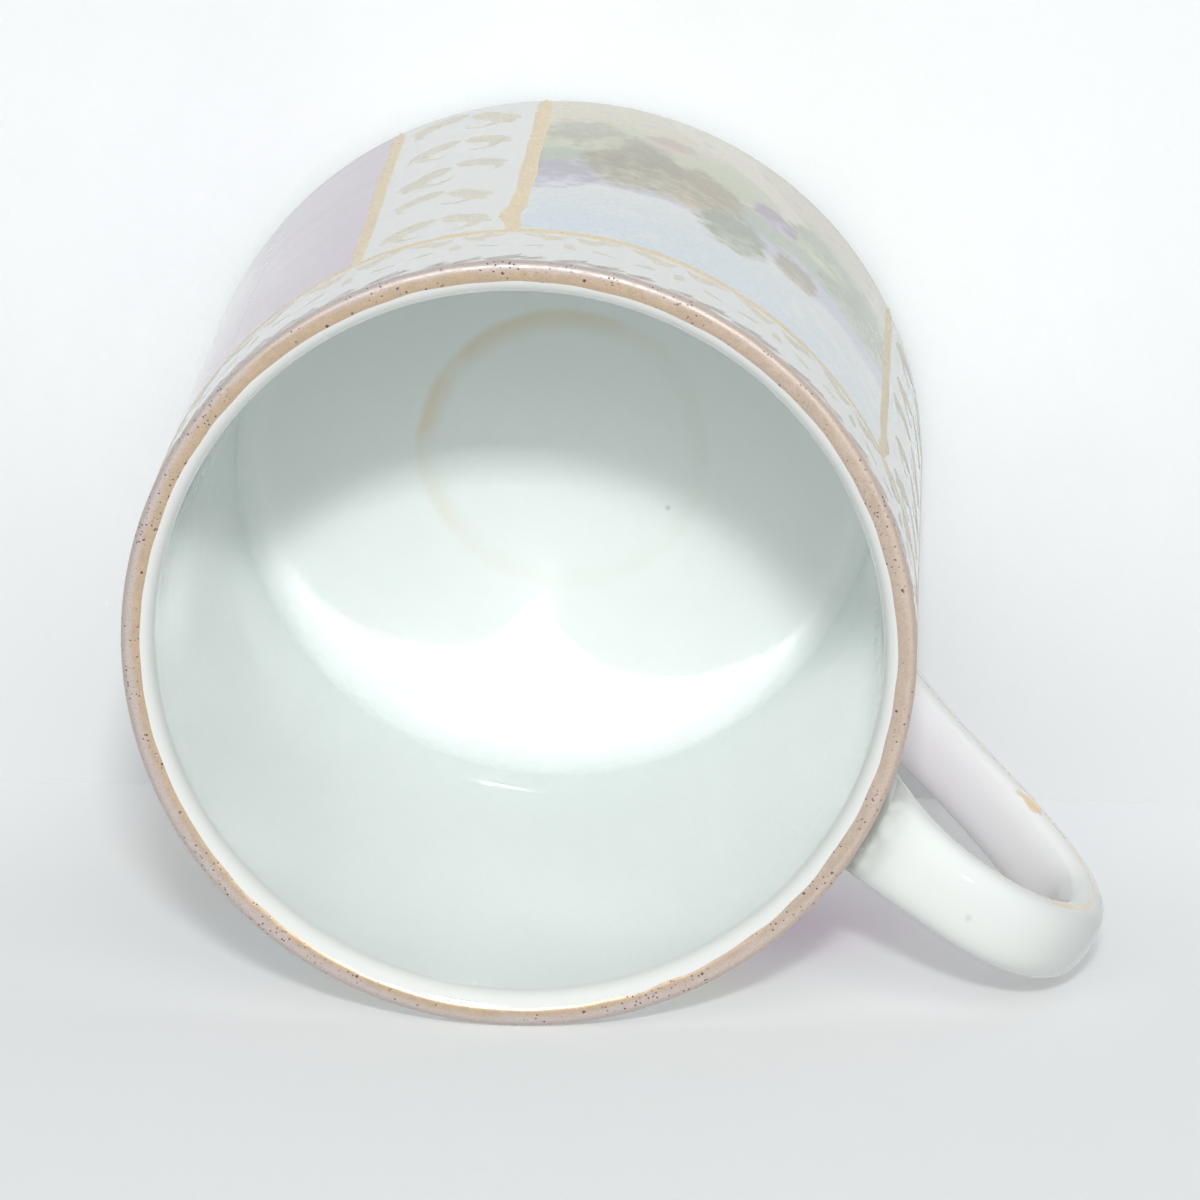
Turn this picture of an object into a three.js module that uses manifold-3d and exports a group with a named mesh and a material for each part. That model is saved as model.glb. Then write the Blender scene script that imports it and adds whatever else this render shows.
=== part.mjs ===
// Demitasse coffee can: a straight-sided porcelain cup with a separately cast ear handle.
// Units are millimetres and +Z points out of the mouth. The cup stands on z = 0, and the
// origin lies under the middle of the cup and its handle taken together.

import * as THREE from 'three';
import { mergeVertices } from 'three/addons/utils/BufferGeometryUtils.js';
import Module from 'manifold-3d';

// Body
const BODY_HEIGHT = 59;
const BODY_RADIUS = 30;
const WALL = 2.5; // thickness just below the lip
const WALL_DRAFT = 1; // extra wall at the bottom of the inside
const LIP_DEPTH = 1.7; // height of the rounded white inner lip
const RIM_EDGE_RADIUS = 0.45; // rounding of the outer rim edge
const BASE_THICKNESS = 2.7;
const INNER_CORNER_RADIUS = 2.5;
const BASE_EDGE_RADIUS = 2.2; // rounding where the wall turns under

// Foot ring
const FOOT_SHELF = 0.7; // flat underside between the rounded edge and the ring
const FOOT_HEIGHT = 0.8; // step from the table up to that shelf
const FOOT_WIDTH = 2.4; // flat face of the ring
const FOOT_DRAFT = 0.5; // slope of the ring's two sides
const BASE_RECESS = 1.6; // height of the underside inside the ring

// Gilding on the rim
const GILT_FACE = 1.45; // width on top of the rim
const GILT_SKIRT = 0.5; // height on the wall, below the rounded edge
const GILT_THICKNESS = 0.15;

// Handle, placed by the middle line of the strap
const HANDLE_REACH = 21.5; // from the cup's wall to the outermost point
const UPPER_ROOT_DROP = 9.6; // from the rim down to the upper root
const UPPER_ROOT_ANGLE = 57.5; // degrees above level, leaving the wall
const UPPER_ROOT_PULL = 13.4; // how long the limb keeps that direction
const TIP_DROP = 14.4; // from the rim down to the outermost point
const TIP_PULL_UP = 11.5;
const TIP_PULL_DOWN = 11.4;
const LOWER_ROOT_HEIGHT = 11.9; // above the table
const LOWER_ROOT_ANGLE = 51;
const LOWER_ROOT_PULL = 14.3;
const UPPER_WIDTH = 6.8; // strap width along the upper limb
const LOWER_WIDTH = 5.6; // strap width along the lower limb
const STRAP_THICKNESS = 3.9;
const STRAP_SQUARENESS = 2.5; // 2 is an oval section, more is boxier
const ROOT_FLARE = 1.8; // growth of the section at the wall
const ROOT_FLARE_LENGTH = 9;
const ROOT_DEPTH = 4; // how far a limb starts inside the wall before it is trimmed

// Slip that lutes the handle to the wall
const LUTING_THICKNESS = 0.9;
const LUTING_OVERHANG = 0.9; // added to the root's width and thickness, as a bead
const SEAT_CLEARANCE = 0.3;

// Facets
const TURN_STEPS = 72;
const ARC_STEPS = 5;
const LIMB_STEPS = 20;
const STRAP_SIDES = 20;

// Finishes
const PORCELAIN = { color: 0xeef1ec, roughness: 0.08, metalness: 0 };
const SLIP = { color: 0xe6e8e1, roughness: 0.2, metalness: 0 };
const GILDING = { color: 0xc9a878, roughness: 0.35, metalness: 1 };

const point = (radius, height) => new THREE.Vector2(radius, height);
const radians = THREE.MathUtils.degToRad;

const wasm = await Module();
wasm.setup();

// Points of an elliptic arc round a centre, from one angle to another, in degrees.
function arc(centre, radiusX, radiusY, from, to) {
  return Array.from({ length: ARC_STEPS + 1 }, (_, i) => {
    const angle = radians(from + ((to - from) * i) / ARC_STEPS);
    return point(centre.x + radiusX * Math.cos(angle), centre.y + radiusY * Math.sin(angle));
  });
}

// A profile of radius and height, turned round the cup's axis.
function turned(profile) {
  return new THREE.LatheGeometry(profile, TURN_STEPS).rotateX(Math.PI / 2);
}

function toSolid(geometry) {
  const bare = geometry.clone();
  bare.deleteAttribute('normal');
  bare.deleteAttribute('uv');
  const merged = mergeVertices(bare);
  const vertProperties = new Float32Array(merged.attributes.position.array);
  const triVerts = new Uint32Array(merged.index.array);
  return new wasm.Manifold(new wasm.Mesh({ numProp: 3, vertProperties, triVerts }));
}

function toGeometry(solid) {
  const { vertProperties, triVerts } = solid.getMesh();
  const geometry = new THREE.BufferGeometry();
  geometry.setAttribute('position', new THREE.BufferAttribute(vertProperties, 3));
  geometry.setIndex(new THREE.BufferAttribute(triVerts, 1));
  geometry.computeVertexNormals();
  return geometry;
}

function piece(name, geometry, finish) {
  const mesh = new THREE.Mesh(geometry, new THREE.MeshStandardMaterial(finish));
  mesh.name = name;
  return mesh;
}

// The rim, seen in section: the face of the gilding and the seat under it.
const rimCentre = point(BODY_RADIUS - RIM_EDGE_RADIUS, BODY_HEIGHT - RIM_EDGE_RADIUS);
const seatRadius = RIM_EDGE_RADIUS - GILT_THICKNESS;
const giltInnerRadius = BODY_RADIUS - GILT_FACE;
const giltFoot = rimCentre.y - GILT_SKIRT;
const giltFace = [
  point(BODY_RADIUS, giltFoot),
  ...arc(rimCentre, RIM_EDGE_RADIUS, RIM_EDGE_RADIUS, 0, 90),
  point(giltInnerRadius, BODY_HEIGHT),
];
const giltSeat = [
  point(BODY_RADIUS - GILT_THICKNESS, giltFoot),
  ...arc(rimCentre, seatRadius, seatRadius, 0, 90),
  point(giltInnerRadius, BODY_HEIGHT - GILT_THICKNESS),
];

// Cup body: foot ring, wall, rim seat, lip, inside wall and floor, from axis to axis.
function bodyProfile() {
  const footTop = BODY_RADIUS - BASE_EDGE_RADIUS - FOOT_SHELF;
  const footOuter = footTop - FOOT_DRAFT;
  const footInner = footOuter - FOOT_WIDTH;
  const floorHeight = BASE_RECESS + BASE_THICKNESS;
  const cornerRadius = BODY_RADIUS - WALL - WALL_DRAFT - INNER_CORNER_RADIUS;
  const baseEdge = point(BODY_RADIUS - BASE_EDGE_RADIUS, FOOT_HEIGHT + BASE_EDGE_RADIUS);
  const lipCentre = point(giltInnerRadius, BODY_HEIGHT - LIP_DEPTH);
  const cornerCentre = point(cornerRadius, floorHeight + INNER_CORNER_RADIUS);
  return [
    point(0, BASE_RECESS),
    point(footInner - FOOT_DRAFT, BASE_RECESS),
    point(footInner, 0),
    point(footOuter, 0),
    point(footTop, FOOT_HEIGHT),
    ...arc(baseEdge, BASE_EDGE_RADIUS, BASE_EDGE_RADIUS, -90, 0),
    giltFace[0],
    ...giltSeat,
    giltFace.at(-1),
    ...arc(lipCentre, WALL - GILT_FACE, LIP_DEPTH, 90, 180).slice(1),
    ...arc(cornerCentre, INNER_CORNER_RADIUS, INNER_CORNER_RADIUS, 0, -90),
    point(0, floorHeight),
  ];
}

// Handle: a strap carried along two curves that meet, standing upright, at the tip.
const inHandlePlane = (distance, height) => new THREE.Vector3(-distance, 0, height);
const tipDistance = BODY_RADIUS + HANDLE_REACH - STRAP_THICKNESS / 2;
const tipHeight = BODY_HEIGHT - TIP_DROP;

// One limb's curve, from inside the wall to the tip.
function limbCurve(rootHeight, rootAngle, rootPull, tipPull) {
  const along = point(Math.cos(radians(rootAngle)), Math.sin(radians(rootAngle)));
  const back = ROOT_DEPTH / along.x;
  return new THREE.CubicBezierCurve3(
    inHandlePlane(BODY_RADIUS - ROOT_DEPTH, rootHeight - back * along.y),
    inHandlePlane(BODY_RADIUS + rootPull * along.x, rootHeight + rootPull * along.y),
    inHandlePlane(tipDistance, tipHeight + tipPull),
    inHandlePlane(tipDistance, tipHeight),
  );
}

const upperRootHeight = BODY_HEIGHT - UPPER_ROOT_DROP;
const upperLimb = limbCurve(upperRootHeight, UPPER_ROOT_ANGLE, UPPER_ROOT_PULL, TIP_PULL_UP);
const lowerLimb = limbCurve(LOWER_ROOT_HEIGHT, LOWER_ROOT_ANGLE, LOWER_ROOT_PULL, -TIP_PULL_DOWN);

// One ring of the strap's rounded section, square to its path.
function strapRing(centre, tangent, width, thickness) {
  const outward = new THREE.Vector3(-tangent.z, 0, tangent.x);
  const across = new THREE.Vector3(0, 1, 0);
  const rounded = (value) => Math.sign(value) * Math.abs(value) ** (2 / STRAP_SQUARENESS);
  return Array.from({ length: STRAP_SIDES }, (_, i) => {
    const angle = (2 * Math.PI * i) / STRAP_SIDES;
    return centre
      .clone()
      .addScaledVector(across, (width / 2) * rounded(Math.cos(angle)))
      .addScaledVector(outward, (thickness / 2) * rounded(Math.sin(angle)));
  });
}

// Sections along one limb, from inside the wall to the tip, flared towards the wall.
function limbRings(limb, rootWidth, growth) {
  const tipWidth = (UPPER_WIDTH + LOWER_WIDTH) / 2;
  return Array.from({ length: LIMB_STEPS + 1 }, (_, i) => {
    const t = i / LIMB_STEPS;
    const centre = limb.getPoint(t);
    const outside = Math.max(0, -centre.x - BODY_RADIUS);
    const flare = ROOT_FLARE * Math.max(0, 1 - outside / ROOT_FLARE_LENGTH) ** 2 + growth;
    const width = THREE.MathUtils.lerp(rootWidth, tipWidth, t) + flare;
    return strapRing(centre, limb.getTangent(t), width, STRAP_THICKNESS + flare);
  });
}

// A closed skin over rings of equal size, with a flat fan at each end.
function loft(rings) {
  const sides = rings[0].length;
  const last = (rings.length - 1) * sides;
  const faces = [];
  for (let start = 0; start < last; start += sides) {
    for (let s = 0; s < sides; s += 1) {
      const a = start + s;
      const b = start + ((s + 1) % sides);
      faces.push(a, b, b + sides, a, b + sides, a + sides);
    }
  }
  for (let s = 1; s + 1 < sides; s += 1) {
    faces.push(0, s + 1, s);
    faces.push(last, last + s, last + s + 1);
  }
  const positions = rings.flat().flatMap((corner) => corner.toArray());
  const geometry = new THREE.BufferGeometry();
  geometry.setAttribute('position', new THREE.Float32BufferAttribute(positions, 3));
  geometry.setIndex(faces);
  return geometry;
}

// A cylinder round the cup's axis that reaches past both ends of the handle.
function wallCylinder(radius) {
  const geometry = new THREE.CylinderGeometry(radius, radius, BODY_HEIGHT * 2, TURN_STEPS);
  return toSolid(geometry.rotateX(Math.PI / 2));
}

const lutingFace = BODY_RADIUS + SEAT_CLEARANCE;
const lutingBack = lutingFace + LUTING_THICKNESS;

// The whole strap, from the upper root over the tip to the lower root, trimmed to its seats.
function handleGeometry() {
  const upper = limbRings(upperLimb, UPPER_WIDTH, 0);
  const lower = limbRings(lowerLimb, LOWER_WIDTH, 0).reverse().slice(1);
  const turnBack = (ring) => ring.map((_, i) => ring[(STRAP_SIDES - i) % STRAP_SIDES]);
  const strap = toSolid(loft([...upper, ...lower.map(turnBack)]));
  return toGeometry(strap.subtract(wallCylinder(lutingBack + SEAT_CLEARANCE)));
}

// The pad of slip between the wall and one root, with its bead all round.
function lutingGeometry(limb, rootWidth) {
  const root = toSolid(loft(limbRings(limb, rootWidth, LUTING_OVERHANG)));
  return toGeometry(root.intersect(wallCylinder(lutingBack)).subtract(wallCylinder(lutingFace)));
}

const cup = new THREE.Group();
cup.position.x = HANDLE_REACH / 2;
cup.add(
  piece('cup_body', turned(bodyProfile()), PORCELAIN),
  piece('gilt_rim', turned([...giltFace, ...giltSeat.toReversed(), giltFace[0]]), GILDING),
  piece('handle', handleGeometry(), PORCELAIN),
  piece('upper_luting_slip', lutingGeometry(upperLimb, UPPER_WIDTH), SLIP),
  piece('lower_luting_slip', lutingGeometry(lowerLimb, LOWER_WIDTH), SLIP),
);

export default cup;
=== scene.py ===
import bmesh
import bpy
import numpy as np
from mathutils import Matrix, Vector


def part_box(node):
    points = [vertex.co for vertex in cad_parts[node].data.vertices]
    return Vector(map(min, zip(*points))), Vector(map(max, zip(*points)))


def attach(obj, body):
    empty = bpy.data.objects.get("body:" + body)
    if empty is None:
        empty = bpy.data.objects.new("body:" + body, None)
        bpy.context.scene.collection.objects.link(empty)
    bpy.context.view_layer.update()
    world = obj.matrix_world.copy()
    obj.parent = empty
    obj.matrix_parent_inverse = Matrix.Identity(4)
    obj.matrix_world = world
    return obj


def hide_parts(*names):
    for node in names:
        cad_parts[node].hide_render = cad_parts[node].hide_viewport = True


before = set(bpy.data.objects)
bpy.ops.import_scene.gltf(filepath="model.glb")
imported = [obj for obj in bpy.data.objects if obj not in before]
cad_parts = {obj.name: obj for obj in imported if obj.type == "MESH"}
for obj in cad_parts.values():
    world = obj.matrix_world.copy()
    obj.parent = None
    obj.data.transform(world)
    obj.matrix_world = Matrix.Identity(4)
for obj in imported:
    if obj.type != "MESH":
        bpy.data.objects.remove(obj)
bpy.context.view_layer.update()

mm = 0.001  # sizes below are in millimetres, and the scene is in metres

# Driving sizes, read from the frame
bodyLow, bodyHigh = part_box("cup_body")
handleLow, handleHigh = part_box("handle")
wallRadius = (bodyHigh.y - bodyLow.y) / 2 / mm
cupHeight = bodyHigh.z / mm
axisX = (bodyLow.x + bodyHigh.x) / 2 / mm  # the cup's axis stands here on the x axis
handleReach = (bodyLow.x - handleLow.x) / mm
arcPerDegree = np.pi * wallRadius / 180  # length on the wall of one degree of turn


# Mesh making

def gridFaces(rows, columns, closedAlong=False):
    # quads between neighbouring rows and columns of a grid that is closed across
    row = np.arange(rows if closedAlong else rows - 1)[:, None]
    column = np.arange(columns)[None, :]
    nextRow = (row + 1) % rows
    nextColumn = (column + 1) % columns
    corners = [row * columns + column, row * columns + nextColumn,
               nextRow * columns + nextColumn, nextRow * columns + column]
    return np.stack(corners, -1).reshape(-1, 4)


def roundAxis(radius, turn, height):
    # a point at a distance from the cup's axis, turned from the handle towards -Y, at a height
    radius, turn, height = np.broadcast_arrays(radius, turn, height)
    return np.stack([axisX - radius * np.cos(turn), -radius * np.sin(turn), height], -1)


def makePiece(name, points, faces, finish, replaced=None):
    mesh = bpy.data.meshes.new(name)
    mesh.from_pydata((points.reshape(-1, 3) * mm).tolist(), [], faces)
    work = bmesh.new()
    work.from_mesh(mesh)
    bmesh.ops.recalc_face_normals(work, faces=work.faces)
    work.to_mesh(mesh)
    work.free()
    mesh.shade_smooth()
    mesh.set_sharp_from_angle(angle=np.radians(50))
    mesh.materials.append(finish)
    piece = bpy.data.objects.new(name, mesh)
    bpy.context.scene.collection.objects.link(piece)
    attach(piece, "root")
    if replaced:
        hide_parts(replaced)
    print(name, len(points.reshape(-1, 3)), "points")
    return piece


def arc(centre, radii, start, end, steps):
    # points of an ellipse's arc, from one angle to another in degrees
    angle = np.radians(np.linspace(start, end, steps))
    return np.stack([centre[0] + radii[0] * np.cos(angle), centre[1] + radii[1] * np.sin(angle)], -1)


def wobble(turn, size, waves, seed):
    # a closed hand-made unevenness: a sum of sines of rising count and falling size
    chance = np.random.default_rng(seed)
    count = np.arange(waves[0], waves[1])
    phase = chance.uniform(0, 2 * np.pi, len(count))
    share = chance.uniform(0.4, 1.0, len(count)) / np.sqrt(len(count))
    return size * (share * np.sin(count * turn[..., None] + phase)).sum(-1)


# Finishes

def newFinish(name, roughness, metallic=0.0):
    material = bpy.data.materials.new(name)
    material.use_nodes = True
    shader = material.node_tree.nodes["Principled BSDF"]
    shader.inputs["Roughness"].default_value = roughness
    shader.inputs["Metallic"].default_value = metallic
    return material, material.node_tree, shader


def feed(tree, value, slot):
    if isinstance(value, bpy.types.NodeSocket):
        tree.links.new(value, slot)
    elif slot.type == "RGBA":
        slot.default_value = (*value, 1.0)
    else:
        slot.default_value = value


def calc(tree, operation, *values):
    step = tree.nodes.new("ShaderNodeMath")
    step.operation = operation
    for value, slot in zip(values, step.inputs):
        feed(tree, value, slot)
    return step.outputs[0]


def calcVector(tree, operation, first, second):
    step = tree.nodes.new("ShaderNodeVectorMath")
    step.operation = operation
    feed(tree, first, step.inputs[0])
    feed(tree, second, step.inputs["Scale" if operation == "SCALE" else 1])
    return step.outputs[0]


def dot(tree, vector, direction):
    step = tree.nodes.new("ShaderNodeVectorMath")
    step.operation = "DOT_PRODUCT"
    feed(tree, vector, step.inputs[0])
    feed(tree, direction, step.inputs[1])
    return step.outputs["Value"]


def ramp(tree, value, low, high, start=0.0, end=1.0):
    step = tree.nodes.new("ShaderNodeMapRange")
    step.interpolation_type = "SMOOTHSTEP"
    given = {"Value": value, "From Min": low, "From Max": high, "To Min": start, "To Max": end}
    for name, number in given.items():
        feed(tree, number, step.inputs[name])
    return step.outputs["Result"]


def tint(tree, amount, under, over, mode="MIX"):
    step = tree.nodes.new("ShaderNodeMix")
    step.data_type = "RGBA"
    step.blend_type = mode
    for value, slot in ((amount, 0), (under, 6), (over, 7)):
        feed(tree, value, step.inputs[slot])
    return step.outputs[2]


def cloud(tree, place, scale, detail=3.0, distortion=0.0):
    step = tree.nodes.new("ShaderNodeTexNoise")
    given = {"Vector": place, "Scale": scale, "Detail": detail, "Distortion": distortion}
    for name, value in given.items():
        feed(tree, value, step.inputs[name])
    return step.outputs[0]


def spots(tree, place, scale):
    step = tree.nodes.new("ShaderNodeTexVoronoi")
    feed(tree, place, step.inputs["Vector"])
    feed(tree, scale, step.inputs["Scale"])
    return step.outputs["Distance"], step.outputs["Color"]


def joinXyz(tree, x, y, z):
    step = tree.nodes.new("ShaderNodeCombineXYZ")
    for value, slot in zip((x, y, z), step.inputs):
        feed(tree, value, slot)
    return step.outputs[0]


def splitXyz(tree, vector):
    step = tree.nodes.new("ShaderNodeSeparateXYZ")
    feed(tree, vector, step.inputs[0])
    return step.outputs


def dent(tree, shader, height, depth):
    # fine relief, with its depth in millimetres
    step = tree.nodes.new("ShaderNodeBump")
    step.inputs["Distance"].default_value = depth * mm
    feed(tree, height, step.inputs["Height"])
    tree.links.new(step.outputs[0], shader.inputs["Normal"])


def flatLength(tree, x, y):
    # the root of the sum of two squares
    return calc(tree, "SQRT", calc(tree, "ADD", calc(tree, "MULTIPLY", x, x), calc(tree, "MULTIPLY", y, y)))


def offBy(tree, value, middle, half):
    # the distance from a middle, counted in half sizes
    return calc(tree, "DIVIDE", calc(tree, "SUBTRACT", value, middle), half)


def aboutAxis(tree):
    # the point in millimetres from the foot of the cup's axis
    coords = tree.nodes.new("ShaderNodeTexCoord").outputs["Object"]
    return calcVector(tree, "SUBTRACT", calcVector(tree, "SCALE", coords, 1 / mm), (axisX, 0, 0))


def cupPlace(tree):
    # the point about the cup's axis, its distance from the axis,
    # its turn from the handle in degrees, and its height
    point = aboutAxis(tree)
    x, y, height = splitXyz(tree, point)
    radius = flatLength(tree, x, y)
    minusX = calc(tree, "MULTIPLY", x, -1.0)
    minusY = calc(tree, "MULTIPLY", y, -1.0)
    turn = calc(tree, "DEGREES", calc(tree, "ARCTAN2", minusY, minusX))
    return point, radius, turn, height


porcelain = dict(
    white=(0.81, 0.835, 0.82),
    warmWhite=(0.82, 0.835, 0.815),
    insideLitWhite=(0.82, 0.865, 0.85),  # painted light: a little lighter than the outside to brighten the inside; the greener tint is the glaze's own
    handleWhite=(0.81, 0.85, 0.83),
    handleWarm=(0.805, 0.84, 0.82),
    lowerLitWhite=(0.93, 0.945, 0.935),  # painted light: the lower limb is made whiter to brighten it
    roughness=0.06,
    peel=0.010,  # depth of the glaze's faint waviness
)
panels = dict(
    paintedHalf=33.3,  # degrees each side of the painted panel's middle
    lustreStart=57.0,  # degrees from the painted panel's middle to the lustre
    collarHeight=48.7,  # the gilt circle that closes the panels
    lustre=(0.635, 0.525, 0.63),
    lustreStreak=(0.575, 0.505, 0.58),
)
stain = dict(
    radius=11.7,
    middle=(0.2, -1.0),
    width=1.15,
    colour=(0.76, 0.65, 0.45),
    darkSide=(0.93, -0.37, 0.0),  # from the middle towards the darkest stretch
    speck=(-9.8, -1.4),
    speckSize=0.32,
    speckColour=(0.40, 0.41, 0.40),
)
scenery = dict(
    skyHigh=(0.68, 0.775, 0.86),
    skyLow=(0.79, 0.82, 0.82),
    cloudWhite=(0.84, 0.86, 0.87),
    thinPaint=(0.85, 0.85, 0.77),  # the paint lies thinner towards the foot
    farHills=(0.60, 0.59, 0.74),
    woods=(0.42, 0.50, 0.40),
    meadow=(0.56, 0.59, 0.42),
    earth=(0.70, 0.61, 0.46),
    path=(0.76, 0.71, 0.60),
    # crowns: along the panel, height, half width, half height, colour
    crowns=(
        (-13.0, 20.0, 5.5, 9.0, (0.36, 0.43, 0.31)),
        (-8.0, 16.0, 4.0, 5.0, (0.48, 0.54, 0.36)),
        (-3.0, 18.5, 2.4, 3.4, (0.46, 0.38, 0.52)),
        (4.0, 24.0, 4.6, 8.0, (0.52, 0.43, 0.30)),
        (9.5, 22.0, 4.8, 10.0, (0.42, 0.38, 0.27)),
        (13.5, 15.0, 4.0, 6.0, (0.50, 0.50, 0.36)),
        (6.5, 12.0, 2.6, 2.4, (0.62, 0.42, 0.36)),
        (15.5, 29.0, 3.6, 6.0, (0.56, 0.54, 0.66)),
        (0.5, 31.0, 3.4, 6.5, (0.40, 0.44, 0.33)),
        (-5.5, 30.0, 2.6, 4.0, (0.50, 0.42, 0.33)),
    ),
    flowers=((0.66, 0.34, 0.31), (0.55, 0.44, 0.66)),
)


def landscape(tree, point, along, height):
    # a painted view in soft layers, from the sky down to the flowers in front
    fine = cloud(tree, point, 0.7, 2.5)
    broad = cloud(tree, point, 0.16, 3.0, 0.6)
    uneven = calc(tree, "MULTIPLY_ADD", calc(tree, "SUBTRACT", broad, 0.5), 9.0, height)
    rough = calc(tree, "MULTIPLY_ADD", calc(tree, "SUBTRACT", fine, 0.5), 4.0, uneven)
    colour = tint(tree, ramp(tree, height, 28, 46), scenery["skyLow"], scenery["skyHigh"])
    clouds = ramp(tree, cloud(tree, point, 0.12, 4.0, 0.8), 0.48, 0.66, 0.0, 0.75)
    colour = tint(tree, clouds, colour, scenery["cloudWhite"])
    layers = (("farHills", 30, 2.0), ("woods", 25, 1.6), ("meadow", 20, 1.6), ("earth", 9, 2.4))
    for name, top, soft in layers:
        edge = rough if name == "woods" else uneven
        colour = tint(tree, ramp(tree, edge, top + soft, top), colour, scenery[name])
    bend = calc(tree, "MULTIPLY", calc(tree, "SINE", calc(tree, "MULTIPLY", height, 0.33)), 4.0)
    aside = calc(tree, "ABSOLUTE", calc(tree, "ADD", calc(tree, "SUBTRACT", along, bend), 1.0))
    pathHalf = ramp(tree, height, 2, 21, 4.2, 0.4)
    pathEdge = calc(tree, "SUBTRACT", aside, pathHalf)
    pathMask = calc(tree, "MULTIPLY", ramp(tree, pathEdge, 0.5, -0.5), ramp(tree, height, 21, 19))
    colour = tint(tree, pathMask, colour, scenery["path"])
    for middle, level, halfWidth, halfHeight, leaf in scenery["crowns"]:
        over = offBy(tree, along, middle, halfWidth)
        up = offBy(tree, height, level, halfHeight)
        away = flatLength(tree, over, up)
        ragged = calc(tree, "MULTIPLY_ADD", calc(tree, "SUBTRACT", fine, 0.5), 0.8, away)
        crown = ramp(tree, ragged, 1.05, 0.66)
        lit = ramp(tree, calc(tree, "ADD", calc(tree, "MULTIPLY", up, 0.35), fine), 0.35, 0.95, 0.72, 1.35)
        shade = tint(tree, 1.0, leaf, joinXyz(tree, lit, lit, lit), "MULTIPLY")
        colour = tint(tree, crown, colour, shade)
    near, pick = spots(tree, point, 0.42)
    ragged = calc(tree, "MULTIPLY_ADD", calc(tree, "SUBTRACT", fine, 0.5), 0.5, near)
    bloom = calc(tree, "MULTIPLY", ramp(tree, ragged, 0.34, 0.10, 0.0, 0.7), ramp(tree, uneven, 13, 9))
    petal = tint(tree, ramp(tree, splitXyz(tree, pick)[0], 0.45, 0.55), *scenery["flowers"])
    colour = tint(tree, bloom, colour, petal)
    colour = tint(tree, ramp(tree, height, 22, 4, 0.06, 0.45), colour, scenery["thinPaint"])
    wash = ramp(tree, cloud(tree, point, 2.2, 3.0), 0.3, 0.7, 0.95, 1.04)
    return tint(tree, 1.0, colour, joinXyz(tree, wash, wash, wash), "MULTIPLY")


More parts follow.
